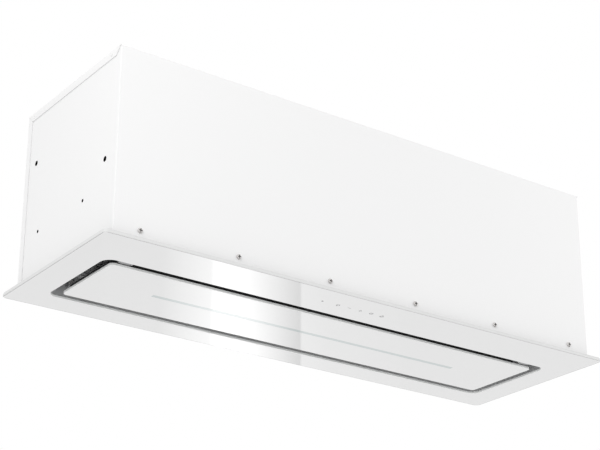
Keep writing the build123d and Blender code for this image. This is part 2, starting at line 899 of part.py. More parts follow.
def motor():
    """Motor inside the left half of the wheel."""
    body = rod_x(motor_radius, -motor_left, -motor_right, 0, 0)
    body = fillet(body.edges().filter_by(GeomType.CIRCLE), motor_round)
    body += rod_x(motor_boss_radius, -motor_left - motor_boss, -motor_right + motor_boss, 0, 0)
    bore = shaft_radius + running_fit
    body -= rod_x(bore, -motor_left - motor_boss - overrun, -motor_right + motor_boss + overrun, 0, 0)
    return Pos(0, axis_y, axis_z) * body


def motor_spider():
    """Disc behind the motor with three arms that reach back to the left side plate."""
    x1 = -motor_left
    x0 = x1 - spider_sheet
    foot = -scroll_width / 2 - sheet
    spider = rod_x(motor_radius, x0, x1, 0, 0)
    for number in range(spider_arms):
        arm = block(x0, x1, 0, spider_radius, -spider_arm_width / 2, spider_arm_width / 2)
        arm += block(x0, foot, spider_radius - spider_sheet, spider_radius,
                     -spider_arm_width / 2, spider_arm_width / 2)
        spider += Rot(360 * number / spider_arms + spider_turn, 0, 0) * arm
    spider -= rod_x(motor_boss_radius + hole_clearance, x0 - overrun, x1 + overrun, 0, 0)
    return Pos(0, axis_y, axis_z) * spider


def blower_hanger(side):
    """Angle between a side plate and the top panel, on the left (-1) or the right (1)."""
    x0 = side * (scroll_width / 2 + sheet)
    x1 = x0 + side * hanger_sheet
    y0, y1 = axis_y - hanger_width / 2, axis_y + hanger_width / 2
    hanger = block(x0, x1, y0, y1, lid_back - hanger_drop, lid_back)
    return hanger + block(x0, x0 + side * hanger_foot, y0, y1, lid_back - hanger_sheet, lid_back)


def collar_screw_places():
    """Where the collar's screws sit on its flange."""
    radius = (spigot_radius + collar_flange_radius) / 2
    places = []
    for number in range(collar_screws):
        angle = 2 * pi * number / collar_screws
        places.append((radius * cos(angle), collar_y() + radius * sin(angle)))
    return places


def rod_height():
    """Height of the rod that carries the damper flaps."""
    return casing_height + rod_rise


def outlet_collar():
    """Round spigot on the top panel, with a ledge below its damper flaps."""
    y = collar_y()
    bottom, top = casing_height, casing_height + spigot_height
    collar = rod_z(spigot_radius, bottom, top, 0, y)
    collar += rod_z(collar_flange_radius, bottom, bottom + collar_flange, 0, y)
    bore = spigot_radius - spigot_wall
    collar -= rod_z(bore, bottom - overrun, top + overrun, 0, y)
    high = rod_height() - flap_sheet / 2 - catch_gap
    ledge = rod_z(bore, high - ledge_height, high, 0, y)
    ledge -= rod_z(bore - ledge_width, high - ledge_height - overrun, high + overrun, 0, y)
    collar += ledge
    collar -= rod_x(rod_radius + pin_fit, -spigot_radius, spigot_radius, y, rod_height())
    for x, screw_y in collar_screw_places():
        collar -= rod_z(collar_screw_radius + hole_clearance, bottom - overrun,
                        bottom + collar_flange + overrun, x, screw_y)
    return collar


def collar_screw_set():
    """Screws that hold the collar to the top panel."""
    screw = pan_screw(collar_screw_head, collar_screw_head_height, collar_screw_radius,
                      collar_screw_length)
    z = casing_height + collar_flange
    return [Pos(x, y, z) * screw for x, y in collar_screw_places()]


def damper_rod():
    """Rod across the spigot."""
    half = spigot_radius - rod_inset
    return rod_x(rod_radius, -half, half, collar_y(), rod_height())


def damper_flap(side):
    """Half-round flap hung on the rod, on the front (-1) or the rear (1) half of the spigot."""
    radius = spigot_radius - spigot_wall - flap_gap
    z = rod_height()
    low, high = z - flap_sheet / 2, z + flap_sheet / 2
    flap = rod_z(radius, low, high, 0, 0)
    edge = flap_knuckle + flap_gap
    flap -= block(-spigot_radius, spigot_radius, side * edge, -side * spigot_radius,
                  low - overrun, high + overrun)
    for place in flap_knuckle_places:
        x0 = -side * place - flap_knuckle_length / 2
        x1 = x0 + flap_knuckle_length
        flap += rod_x(flap_knuckle, x0, x1, 0, z)
        flap += block(x0, x1, 0, side * (edge + overrun), low, high)
    flap -= rod_x(rod_radius + running_fit, -spigot_radius, spigot_radius, 0, z)
    return Pos(0, collar_y(), 0) * flap


def touch_board():
    """Circuit board of the touch controls, on the back of the glass."""
    return slab(touch_length - 2 * side_play, touch_width - 2 * side_play, holder_wall,
                glass_back, glass_back + touch_board_thickness, touch_x, touch_y)


def touch_holder():
    """Cover over the touch board, with a flange on the carrier frame."""
    x, y = touch_x, touch_y
    flange_length = touch_length + 2 * holder_flange
    flange_width = touch_width + 2 * holder_flange
    holder = slab(flange_length, flange_width, holder_flange, 0, holder_flange_thickness, x, y)
    length, width = touch_length - 2 * side_play, touch_width - 2 * side_play
    low = glass_back + touch_board_thickness
    holder += slab(length, width, holder_wall, low, holder_height, x, y)
    length, width = length - 2 * holder_wall, width - 2 * holder_wall
    return holder - block(x - length / 2, x + length / 2, y - width / 2, y + width / 2,
                          low - overrun, holder_height - holder_wall)


def control_box():
    """Sheet-metal box on the shelf for the control board."""
    x, y = box_x, box_y
    box = slab(box_length, box_depth, box_corner, shelf_top, shelf_top + box_height, x, y)
    return box - slab(box_length - 2 * box_sheet, box_depth - 2 * box_sheet, box_sheet,
                      shelf_top + box_sheet, shelf_top + box_height + overrun, x, y)


def control_lid():
    """Lid of the control box, with a rim that sits inside its walls."""
    x, y = box_x, box_y
    top = shelf_top + box_height
    lid = slab(box_length, box_depth, box_corner, top, top + box_sheet, x, y)
    length, depth = box_length - 2 * box_sheet - side_play, box_depth - 2 * box_sheet - side_play
    rim = slab(length, depth, box_sheet, top - board_rise, top, x, y)
    rim -= block(x - length / 2 + box_sheet, x + length / 2 - box_sheet,
                 y - depth / 2 + box_sheet, y + depth / 2 - box_sheet,
                 top - board_rise - overrun, top)
    return lid + rim


def control_board():
    """Control board on posts, with relays and a wound coil."""
    x, y = box_x, box_y
    floor = shelf_top + box_sheet
    low = floor + board_rise
    high = low + board_thickness
    half_length = box_length / 2 - board_inset
    half_depth = box_depth / 2 - board_inset
    board = block(x - half_length, x + half_length, y - half_depth, y + half_depth, low, high)
    for side_x in (-1, 1):
        for side_y in (-1, 1):
            board += rod_z(board_post, floor, low, x + side_x * (half_length - board_inset),
                           y + side_y * (half_depth - board_inset))
    for step in (-1, 0):
        place = x + step * part_spread
        board += block(place - relay_size / 2, place + relay_size / 2,
                       y, y + relay_size, high, high + relay_height)
    return board + rod_z(coil_radius, high, high + coil_height, x + part_spread, y)


def capacitor():
    """Motor capacitor that stands on the shelf."""
    can = rod_z(capacitor_radius, shelf_top, shelf_top + capacitor_height, capacitor_x, capacitor_y)
    return fillet(can.edges().sort_by(Axis.Z)[-1], capacitor_round)


def capacitor_clip():
    """Band round the capacitor, on a foot on the shelf."""
    x, y = capacitor_x, capacitor_y
    low = shelf_top + clip_rise
    outer = capacitor_radius + hole_clearance + clip_wall
    edge = x + outer
    foot = block(edge - clip_wall, edge, y - clip_foot / 2, y + clip_foot / 2,
                 shelf_top, low + clip_height)
    foot += block(edge - clip_wall, edge + clip_foot, y - clip_foot / 2, y + clip_foot / 2,
                  shelf_top, shelf_top + clip_wall)
    clip = rod_z(outer, low, low + clip_height, x, y) + foot
    return clip - rod_z(outer - clip_wall, shelf_top - overrun, low + clip_height + overrun, x, y)


def light_driver():
    """Supply of the light, on the shelf."""
    x, y = driver_x, driver_y
    half, wide = driver_length / 2, driver_depth / 2
    body = block(x - half, x + half, y - wide, y + wide, shelf_top, shelf_top + driver_height)
    body = fillet(body.edges().filter_by(Axis.Z), driver_round)
    ear_wide = driver_ear_width / 2
    ears = block(x - half - driver_ear, x + half + driver_ear, y - ear_wide, y + ear_wide,
                 shelf_top, shelf_top + driver_ear_thickness)
    driver = body + ears
    for side in (-1, 1):
        driver -= rod_z(screw_radius, shelf_top - overrun, shelf_top + driver_ear_thickness + overrun,
                        x + side * (half + driver_ear / 2), y)
    return driver


def cable_gland():
    """Gland for the supply cable on the top panel."""
    z = casing_height
    gland = Pos(gland_x, gland_y, z) * extrude(RegularPolygon(gland_hex_radius, hex_sides), gland_hex)
    dome = rod_z(gland_dome_radius, z + gland_hex, z + gland_hex + gland_dome, gland_x, gland_y)
    dome = fillet(dome.edges().sort_by(Axis.Z)[-1], gland_round)
    thread = rod_z(gland_thread_radius, z - gland_tail, z, gland_x, gland_y)
    gland = gland + dome + thread
    return gland - rod_z(gland_bore_radius, z - gland_tail - overrun,
                         z + gland_hex + gland_dome + overrun, gland_x, gland_y)


def gland_locknut():
    """Nut that holds the gland from inside."""
    low = lid_back - gland_nut
    nut = Pos(gland_x, gland_y, low) * extrude(RegularPolygon(gland_hex_radius, hex_sides), gland_nut)
    return nut - rod_z(gland_thread_radius + pin_fit, low - overrun, lid_back + overrun,
                       gland_x, gland_y)


def save(name, shape):
    """Write one node, which may hold several equal solids."""
    if isinstance(shape, list):
        shape = Compound(shape)
    export_step(shape, f"parts/{name}.step")


def main():
    os.makedirs("parts", exist_ok=True)
    save("casing_wrap", casing_wrap())
    save("rear_panel", rear_panel())
    save("top_panel", top_panel())
    save("lid_rivets", lid_rivets())
    save("carrier_frame", carrier_frame())
    save("glass_frame", glass_frame())
    save("recess_liner", recess_liner())
    save("front_screws", casing_screws(-1))
    save("rear_screws", casing_screws(1))
    save("panel_glass", panel_glass())
    save("panel_tray", panel_tray())
    save("led_profile", led_profile())
    save("led_board", led_board())
    save("led_diffuser", led_diffuser())
    for name, x in zip(side_names, hinge_places):
        save(f"hinge_bracket_{name}", hinge_bracket(x))
        save(f"hinge_leaf_{name}", hinge_leaf(x))
        save(f"hinge_pin_{name}", hinge_pin(x))
    save("catch_arms", catch_arms())
    save("liner_screws", liner_screws())
    save("catch_magnets", catch_magnets())
    save("catch_strikers", catch_strikers())
    save("filter_shelf", filter_shelf())
    save("filter_rail_front", front_rail())
    save("filter_rail_rear", rear_rail())
    for name, x in zip(filter_names, filter_places):
        save(f"filter_frame_{name}", filter_frame(x))
        save(f"filter_mesh_{name}", filter_mesh(x))
        save(f"filter_catch_{name}", filter_catch(x))
    save("blower_scroll", blower_scroll())
    for name, side in zip(side_names, (-1, 1)):
        save(f"blower_side_{name}", blower_side(side))
        save(f"blower_hanger_{name}", blower_hanger(side))
    save("impeller", impeller())
    save("motor_shaft", motor_shaft())
    save("motor", motor())
    save("motor_spider", motor_spider())
    save("outlet_collar", outlet_collar())
    save("collar_screws", collar_screw_set())
    save("damper_rod", damper_rod())
    save("damper_flap_front", damper_flap(-1))
    save("damper_flap_rear", damper_flap(1))
    save("touch_board", touch_board())
    save("touch_holder", touch_holder())
    save("control_box", control_box())
    save("control_lid", control_lid())
    save("control_board", control_board())
    save("capacitor", capacitor())
    save("capacitor_clip", capacitor_clip())
    save("light_driver", light_driver())
    save("cable_gland", cable_gland())
    save("gland_locknut", gland_locknut())


main()
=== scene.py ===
import json
import math

import bmesh
import bpy
from mathutils import Matrix, Vector

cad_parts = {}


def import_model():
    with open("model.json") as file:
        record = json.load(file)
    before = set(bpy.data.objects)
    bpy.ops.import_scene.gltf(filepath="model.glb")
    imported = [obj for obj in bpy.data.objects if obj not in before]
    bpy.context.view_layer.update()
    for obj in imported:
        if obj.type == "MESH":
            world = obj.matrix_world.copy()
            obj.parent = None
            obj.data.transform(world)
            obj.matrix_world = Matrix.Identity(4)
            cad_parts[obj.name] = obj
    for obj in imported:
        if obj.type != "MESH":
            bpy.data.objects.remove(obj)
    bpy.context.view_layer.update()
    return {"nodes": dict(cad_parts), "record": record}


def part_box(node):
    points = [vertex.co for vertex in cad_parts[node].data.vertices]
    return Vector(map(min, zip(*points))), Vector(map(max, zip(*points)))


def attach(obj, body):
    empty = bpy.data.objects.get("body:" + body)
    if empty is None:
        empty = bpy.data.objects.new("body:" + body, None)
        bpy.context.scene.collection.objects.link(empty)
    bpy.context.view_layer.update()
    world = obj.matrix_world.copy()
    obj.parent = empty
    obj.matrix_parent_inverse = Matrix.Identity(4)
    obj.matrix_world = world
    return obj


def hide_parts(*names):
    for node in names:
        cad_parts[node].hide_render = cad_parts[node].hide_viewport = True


# Looks of the ceiling hood around its CAD model: the finish of every piece, the printed touch
# symbols, the filters' nets, and the stage, light and camera. All lengths are in metres.
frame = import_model()
nodes = frame["nodes"]
record = frame["record"]
scene = bpy.context.scene


# Camera, solved from the straight edges of the photograph, which is a crop and so needs the shift
CAMERA_PLACE = (-1.52528, -2.07831, -0.92032)
CAMERA_RIGHT = (0.812476, -0.582991, 0.002218)
CAMERA_FORWARD = (0.540058, 0.754064, 0.373798)
CAMERA_LENS = 98.0514
CAMERA_SHIFT = 0.0617
CAMERA_NEAR = 0.05
CAMERA_FAR = 60.0
SENSOR = 36.0


def add_camera():
    data = bpy.data.cameras.new("photo_camera")
    data.lens = CAMERA_LENS
    data.sensor_width = SENSOR
    data.sensor_fit = "HORIZONTAL"
    data.shift_y = CAMERA_SHIFT
    data.clip_start = CAMERA_NEAR
    data.clip_end = CAMERA_FAR
    camera = bpy.data.objects.new("photo_camera", data)
    right, forward = Vector(CAMERA_RIGHT), Vector(CAMERA_FORWARD)
    turn = Matrix((right, right.cross(forward), -forward)).transposed().to_4x4()
    camera.matrix_world = Matrix.Translation(CAMERA_PLACE) @ turn
    scene.collection.objects.link(camera)
    scene.camera = camera


# Short calls for shader nodes

WHITE = (1.0, 1.0, 1.0)


class Tree:
    """The node tree of a material or of the world."""

    def __init__(self, owner, output="Material Output"):
        owner.use_nodes = True
        self.owner = owner
        self.nodes = owner.node_tree.nodes
        self.links = owner.node_tree.links
        self.output = self.nodes[output]

    def node(self, kind, **settings):
        made = self.nodes.new(kind)
        for name, value in settings.items():
            setattr(made, name, value)
        return made

    def feed(self, socket, value):
        """Links a socket to another one, or sets it to a number or to a colour."""
        if isinstance(value, bpy.types.NodeSocket):
            self.links.new(value, socket)
        elif isinstance(value, tuple):
            socket.default_value = (*value, 1.0)
        else:
            socket.default_value = value

    def place(self, stretch=(1, 1, 1)):
        """Object coordinates, in metres, stretched along the axes."""
        coordinates = self.node("ShaderNodeTexCoord")
        mapping = self.node("ShaderNodeMapping")
        mapping.inputs["Scale"].default_value = stretch
        self.feed(mapping.inputs["Vector"], coordinates.outputs["Object"])
        return mapping.outputs["Vector"]

    def axes(self, vector):
        """The three parts of a vector."""
        split = self.node("ShaderNodeSeparateXYZ")
        self.feed(split.inputs[0], vector)
        return split.outputs["X"], split.outputs["Y"], split.outputs["Z"]

    def facing(self):
        """The direction that a face looks in, as three parts from -1 to 1."""
        return self.axes(self.node("ShaderNodeNewGeometry").outputs["True Normal"])

    def noise(self, scale, detail=3.0, roughness=0.55, stretch=(1, 1, 1), distortion=0.0):
        made = self.node("ShaderNodeTexNoise")
        made.inputs["Scale"].default_value = scale
        made.inputs["Detail"].default_value = detail
        made.inputs["Roughness"].default_value = roughness
        made.inputs["Distortion"].default_value = distortion
        self.feed(made.inputs["Vector"], self.place(stretch))
        return made.outputs["Fac"]

    def cells(self, scale):
        made = self.node("ShaderNodeTexVoronoi")
        made.inputs["Scale"].default_value = scale
        self.feed(made.inputs["Vector"], self.place())
        return made

    def ramp(self, value, stops):
        """A grey for each value, from a table of places and levels."""
        made = self.node("ShaderNodeValToRGB")
        elements = made.color_ramp.elements
        while len(elements) < len(stops):
            elements.new(1.0)
        for element, (place, level) in zip(elements, stops):
            element.position = place
            element.color = (level, level, level, 1.0)
        self.feed(made.inputs["Fac"], value)
        return made.outputs["Color"]

    def span(self, value, low, high):
        """Maps 0..1 to low..high."""
        made = self.node("ShaderNodeMapRange")
        made.inputs["To Min"].default_value = low
        made.inputs["To Max"].default_value = high
        self.feed(made.inputs["Value"], value)
        return made.outputs["Result"]

    def window(self, value, low, high):
        """0 below low, 1 above high."""
        made = self.node("ShaderNodeMapRange")
        made.inputs["From Min"].default_value = low
        made.inputs["From Max"].default_value = high
        self.feed(made.inputs["Value"], value)
        return made.outputs["Result"]

    def maths(self, operation, first, second=0.0):
        made = self.node("ShaderNodeMath", operation=operation)
        self.feed(made.inputs[0], first)
        self.feed(made.inputs[1], second)
        return made.outputs[0]

    def unsigned(self, value):
        return self.maths("ABSOLUTE", value)

    def rest(self, share):
        """What a share leaves of 1."""
        return self.maths("SUBTRACT", 1.0, share)

    def both(self, first, second):
        return self.maths("MULTIPLY", first, second)

    def either(self, first, second):
        return self.maths("MAXIMUM", first, second)

    def reach_squared(self, first, second):
        """The square of the distance whose two parts are given."""
        return self.maths("ADD", self.both(first, first), self.both(second, second))

    def mix(self, factor, first, second):
        made = self.node("ShaderNodeMix", data_type="RGBA")
        self.feed(made.inputs["Factor"], factor)
        self.feed(made.inputs["A"], first)
        self.feed(made.inputs["B"], second)
        return made.outputs["Result"]

    def bump(self, height, strength, distance, before=None):
        made = self.node("ShaderNodeBump")
        made.inputs["Strength"].default_value = strength
        made.inputs["Distance"].default_value = distance
        self.feed(made.inputs["Height"], height)
        if before is not None:
            self.feed(made.inputs["Normal"], before)
        return made.outputs["Normal"]

    def seen(self):
        """1 for what the camera sees, straight or in a reflection, and 0 for light on the object."""
        path = self.node("ShaderNodeLightPath").outputs
        return self.either(self.either(path["Is Camera Ray"], path["Is Glossy Ray"]),
                           path["Is Transmission Ray"])

    def surface(self, shader):
        self.feed(self.output.inputs["Surface"], shader.outputs[0])

    def blend(self, factor, first, second):
        """The surface is a mixture of two shaders."""
        made = self.node("ShaderNodeMixShader")
        self.feed(made.inputs["Fac"], factor)
        self.feed(made.inputs[1], first.outputs[0])
        self.feed(made.inputs[2], second.outputs[0])
        self.surface(made)

    def finish(self, colour, roughness, metallic=0.0, normal=None, ior=None):
        """Feeds the principled shader and returns the material."""
        sockets = self.nodes["Principled BSDF"].inputs
        self.feed(sockets["Base Color"], colour)
        self.feed(sockets["Roughness"], roughness)
        self.feed(sockets["Metallic"], metallic)
        if normal is not None:
            self.feed(sockets["Normal"], normal)
        if ior is not None:
            sockets["IOR"].default_value = ior
        return self.owner


def material_tree(name):
    return Tree(bpy.data.materials.new(name))


def shade(colour, factor):
    return tuple(channel * factor for channel in colour)


def lift(colour, amount, factor=1.0):
    """A colour made lighter by an amount, and no lighter than white."""
    return tuple(min(1.0, channel * factor + amount) for channel in colour)


# Painted sheet

# How far the larger fixing holes in a side lie apart in height, and how far past each hole the painted
# shade reaches round its rim
LARGE_HOLES_RISE = 0.082
HOLE_SHADE_MARGIN = 0.0004
SHELL_DEPTH = 0.002
LIP_STAND = 0.0001
# Painted shade: black on the holes' rims for the dark inside the casing, and a near black mixed into the
# lips' cut edges, partly the bare cut edge and partly a painted shadow line
HOLE_SHADE_BLACK = (0.01, 0.01, 0.01)
LIP_EDGE_AND_SHADOW_DARK = (0.05, 0.05, 0.05)
LIP_EDGE_SHADE = 0.19
MILLIMETRE = 0.001


def side_holes():
    """(place in Y, place in Z, radius) of each hole in a side of the casing, from the record's mounts."""
    mounts = {mount["name"]: mount for mount in record["mounts"]}
    large = mounts["side_large_holes_left"]
    small = mounts["side_small_holes_left"]
    between = large["dims"]["pcd_mm"] * MILLIMETRE
    run = math.sqrt(between ** 2 - LARGE_HOLES_RISE ** 2)
    pairs = ((large, run, LARGE_HOLES_RISE), (small, small["dims"]["spacing_x_mm"] * MILLIMETRE, 0.0))
    holes = []
    for mount, across, rise in pairs:
        middle_y, middle_z = mount["pos_m"][1:]
        radius = mount["dims"]["hole_r_mm"] * MILLIMETRE
        for side in (1, -1):
            holes.append((middle_y + side * across / 2, middle_z + side * rise / 2, radius))
    return holes


def painted_casing_shade(tree):
    """Masks of painted shade on the casing's sides: 1 on the rims of its holes, and 1 on the cut edges of
    its lips.
    """
    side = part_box("casing_wrap")[1].x
    turned = tree.rest(tree.window(tree.unsigned(tree.facing()[0]), low=0.3, high=0.5))
    x, y, z = tree.axes(tree.place())
    out = tree.unsigned(x)
    hole_shade = 0.0
    for hole_y, hole_z, radius in side_holes():
        squared = tree.reach_squared(tree.maths("SUBTRACT", y, hole_y), tree.maths("SUBTRACT", z, hole_z))
        hole_shade = tree.either(hole_shade, tree.maths("LESS_THAN", squared, (radius + HOLE_SHADE_MARGIN) ** 2))
    shell = tree.maths("GREATER_THAN", out, side - SHELL_DEPTH)
    beyond = tree.maths("GREATER_THAN", out, side + LIP_STAND)
    return tree.both(tree.both(hole_shade, shell), turned), tree.both(turned, beyond)


def powder_coat(name, colour, rough=0.42, back=None, painted_shade=False):
    """Powder-coated sheet: fine orange peel, slow tone drift, a few rubbed specks.

    With an upward shade colour, the faces that look up take that darker colour: painted shade, which
    cuts the light they throw back onto the casing above. With painted shade, the rims of the holes
    are painted black for the shade inside the casing, and the lips' cut edges are darker, partly as
    bare cut edges and partly as a painted shadow line.
    """
    tree = material_tree(name)
    tone = tree.mix(tree.noise(scale=2.2, detail=2), shade(colour, 0.985), colour)
    speck = tree.window(tree.noise(scale=420, detail=2), low=0.70, high=0.78)
    tone = tree.mix(tree.span(speck, low=0.0, high=0.10), tone, shade(colour, 0.86))
    # Painted shade: the upward faces are darker, which cuts the light they throw onto the casing above
    if back is not None:
        tone = tree.mix(tree.window(tree.facing()[2], low=0.6, high=0.9), tone, back)
    if painted_shade:
        # Painted shade on the rims of the holes, and on the lips' cut edges mixed with the bare edge's tone
        hole_shade, lip_shade = painted_casing_shade(tree)
        tone = tree.mix(tree.both(lip_shade, LIP_EDGE_SHADE), tone, LIP_EDGE_AND_SHADOW_DARK)
        tone = tree.mix(hole_shade, tone, HOLE_SHADE_BLACK)
    peel = tree.bump(tree.noise(scale=620, detail=2, roughness=0.5), strength=0.10, distance=0.0002)
    wave = tree.bump(tree.noise(scale=26, detail=1), strength=0.05, distance=0.0012, before=peel)
    roughness = tree.span(tree.noise(scale=90), low=rough - 0.05, high=rough + 0.06)
    return tree.finish(tone, roughness, normal=wave, ior=1.48)


# Glass

# How far past the panel the lighter tone of the opening's edges, which is painted light, reaches: over the
# slot, into the border
OPENING_REACH = 0.032
ARRIS_WIDTH = 0.0015
ARRIS_SHADE = 0.3


def round_opening(tree):
    """1 round the frame's opening and 0 at the frame's outer edges."""
    low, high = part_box("panel_glass")
    x, y, _ = tree.axes(tree.place())
    aside = tree.unsigned(tree.maths("SUBTRACT", y, (low.y + high.y) / 2))
    within_x = tree.maths("LESS_THAN", tree.unsigned(x), high.x + OPENING_REACH)
    within_y = tree.maths("LESS_THAN", aside, (high.y - low.y) / 2 + OPENING_REACH)
    return tree.both(within_x, within_y)


def outer_arris(tree, node):
    """1 along the outer edges of a flat node that is centred on the origin."""
    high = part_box(node)[1]
    x, y, _ = tree.axes(tree.place())
    return tree.either(tree.maths("GREATER_THAN", tree.unsigned(x), high.x - ARRIS_WIDTH),
                       tree.maths("GREATER_THAN", tree.unsigned(y), high.y - ARRIS_WIDTH))


def painted_glass(name, face, edge, glow, inner=None, arris=None):
    """Glass painted on its back: a flat glossy face, and ground edges that show the glass itself.

    The edges round the opening can have a lighter tone of their own, which is painted light for
    edges that lie in the shade of the slots. The ground edges glow white with a strength of glow,
    painted light in place of the light that glass leads to its edges. The arris round the node of
    that name is duller.
    """
    tree = material_tree(name)
    side = tree.rest(tree.window(tree.unsigned(tree.facing()[2]), low=0.80, high=0.98))
    front = tree.mix(tree.noise(scale=3.0, detail=2), shade(face, 0.992), face)
    ground = tree.mix(tree.noise(scale=900, detail=2), shade(edge, 0.94), shade(edge, 1.04))
    painted_glow_mask = side
    if inner is not None:
        # The opening's edges are painted lighter, for the shade of the slots they lie in
        opening = round_opening(tree)
        ground = tree.mix(opening, ground, inner)
        painted_glow_mask = tree.both(opening, side)
    if arris is not None:
        front = tree.mix(outer_arris(tree, arris), front, shade(face, ARRIS_SHADE))
    sockets = tree.nodes["Principled BSDF"].inputs
    # Painted light: the ground edges glow white, in place of the light that glass leads to its edges
    tree.feed(sockets["Emission Color"], WHITE)
    tree.feed(sockets["Emission Strength"], tree.both(painted_glow_mask, glow))
    smear = tree.noise(scale=14, detail=4, roughness=0.6, distortion=0.6)
    roughness = tree.maths("ADD", tree.span(smear, low=0.015, high=0.045),
                           tree.span(side, low=0.0, high=0.26))
    grind = tree.bump(tree.both(tree.noise(scale=2600, detail=2), side), strength=0.25, distance=0.0001)
    return tree.finish(tree.mix(side, front, ground), roughness, normal=grind, ior=1.5)


def opal(name, colour):
    """Satin opal plastic of the light's window, with faint flow lines along it."""
    tree = material_tree(name)
    flow = tree.noise(scale=40, detail=2, roughness=0.5, stretch=(0.05, 8, 8))
    tone = tree.mix(flow, shade(colour, 0.975), colour)
    normal = tree.bump(tree.noise(scale=1500, detail=2), strength=0.03, distance=0.00005)
    return tree.finish(tone, tree.span(flow, low=0.04, high=0.08), normal=normal, ior=1.6)


def printed(name, colour):
    """Screen print under the glass."""
    tree = material_tree(name)
    tone = tree.mix(tree.noise(scale=1800, detail=2), shade(colour, 0.94), shade(colour, 1.05))
    roughness = tree.span(tree.noise(scale=30, detail=2), low=0.10, high=0.18)
    return tree.finish(tone, roughness, ior=1.5)


# Bare metal

def sheet_metal(name, colour, rough=0.38, metallic=0.85, stretch=(1, 40, 1), spangle=0.0):
    """Rolled or brushed sheet: fine lines one way, cloudy roughness and, on galvanised sheet, spangle."""
    tree = material_tree(name)
    lines = tree.noise(scale=60, roughness=0.6, stretch=stretch)
    cloud = tree.noise(scale=18)
    tone = tree.mix(lines, shade(colour, 0.90), shade(colour, 1.08))
    if spangle:
        split = tree.node("ShaderNodeSeparateColor")
        tree.feed(split.inputs[0], tree.cells(scale=150).outputs["Color"])
        flake = tree.span(split.outputs[0], low=0.0, high=spangle)
        tone = tree.mix(flake, tone, shade(colour, 0.62))
    stain = tree.window(cloud, low=0.60, high=0.74)
    tone = tree.mix(tree.span(stain, low=0.0, high=0.16), tone, shade(colour, 0.72))
    roughness = tree.maths("ADD", tree.span(cloud, low=rough - 0.08, high=rough + 0.08),
                           tree.span(lines, low=-0.03, high=0.03))
    return tree.finish(tone, roughness, metallic, tree.bump(lines, strength=0.12, distance=0.00012))


# The screws stand in a row along the casing, and painted shade darkens the middle of their heads, in the
# cross recess
SCREW_COUNT = 6
SCREW_RECESS = 0.0032
RECESS_SOFTNESS = 0.0002
RECESS_DEPTHS = (0.0002, 0.0006)


def screw_recess(tree):
    """1 deep in a screw's recess and 0 elsewhere."""
    low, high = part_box("front_screws")
    head = high.z - low.z
    spacing = (high.x - low.x - head) / (SCREW_COUNT - 1)
    x, y, z = tree.axes(tree.place())
    row = tree.maths("ADD", tree.maths("DIVIDE", x, spacing), SCREW_COUNT / 2)
    across = tree.both(tree.maths("SUBTRACT", tree.maths("FRACT", row), 0.5), spacing)
    rise = tree.maths("SUBTRACT", z, (low.z + high.z) / 2)
    reach = tree.maths("SQRT", tree.reach_squared(across, rise))
    depth = tree.maths("SUBTRACT", -low.y, tree.unsigned(y))
    inside = tree.rest(tree.window(reach, low=SCREW_RECESS, high=SCREW_RECESS + RECESS_SOFTNESS))
    return tree.both(inside, tree.window(depth, *RECESS_DEPTHS))


def screw_metal(name, colour, recess_shade):
    """Zinc-plated steel with small tone patches, and a dark pit of painted shade in the cross recess."""
    tree = material_tree(name)
    patches = tree.noise(scale=700, roughness=0.6)
    # Painted shade: deep in the recess the screw is near black and not metallic
    pit_shade = screw_recess(tree)
    tone = tree.mix(pit_shade, tree.mix(patches, shade(colour, 0.72), shade(colour, 1.12)), recess_shade)
    normal = tree.bump(tree.noise(scale=1600, detail=2), strength=0.18, distance=0.0001)
    roughness = tree.span(patches, low=0.16, high=0.34)
    return tree.finish(tone, roughness, tree.span(pit_shade, low=0.90, high=0.0), normal)


# Plastic and circuit boards

def moulded(name, colour, rough=0.5):
    """Moulded plastic with a fine spark-eroded grain."""
    tree = material_tree(name)
    drift = tree.noise(scale=9)
    tone = tree.mix(drift, shade(colour, 0.88), shade(colour, 1.08))
    scuff = tree.window(tree.noise(scale=46, detail=4, roughness=0.7), low=0.62, high=0.72)
    tone = tree.mix(tree.span(scuff, low=0.0, high=0.14), tone, lift(colour, 0.12))
    normal = tree.bump(tree.cells(scale=520).outputs["Distance"], strength=0.14, distance=0.0002)
    return tree.finish(tone, tree.span(drift, low=rough - 0.06, high=rough + 0.08), normal=normal)


PAD_TONE = (0.78, 0.74, 0.62)


def circuit_board(name, mask):
    """Solder mask with fine copper lines under it and pale pads."""
    tree = material_tree(name)
    lines = tree.node("ShaderNodeTexBrick")
    lines.inputs["Scale"].default_value = 90
    lines.inputs["Mortar Size"].default_value = 0.03
    tree.feed(lines.inputs["Color1"], mask)
    tree.feed(lines.inputs["Color2"], shade(mask, 0.86))
    tree.feed(lines.inputs["Mortar"], lift(mask, 0.02, factor=1.9))
    tree.feed(lines.inputs["Vector"], tree.place())
    pads = tree.window(tree.cells(scale=240).outputs["Distance"], low=0.0, high=0.16)
    tone = tree.mix(pads, PAD_TONE, lines.outputs["Color"])
    normal = tree.bump(lines.outputs["Fac"], strength=0.2, distance=0.0001)
    return tree.finish(tone, tree.span(pads, low=0.28, high=0.40), normal=normal)


# The finish of each material slot

WHITE_PAINT = (0.90, 0.90, 0.90)
FACE_WHITE = (0.87, 0.87, 0.87)
FRAME_EDGE = (0.757, 0.76, 0.757)
# A lighter glass edge, painted light for edges that lie in the shade of the slots
PAINTED_LIGHT_EDGE = (0.93, 0.94, 0.935)
ALUMINIUM = (0.74, 0.75, 0.76)

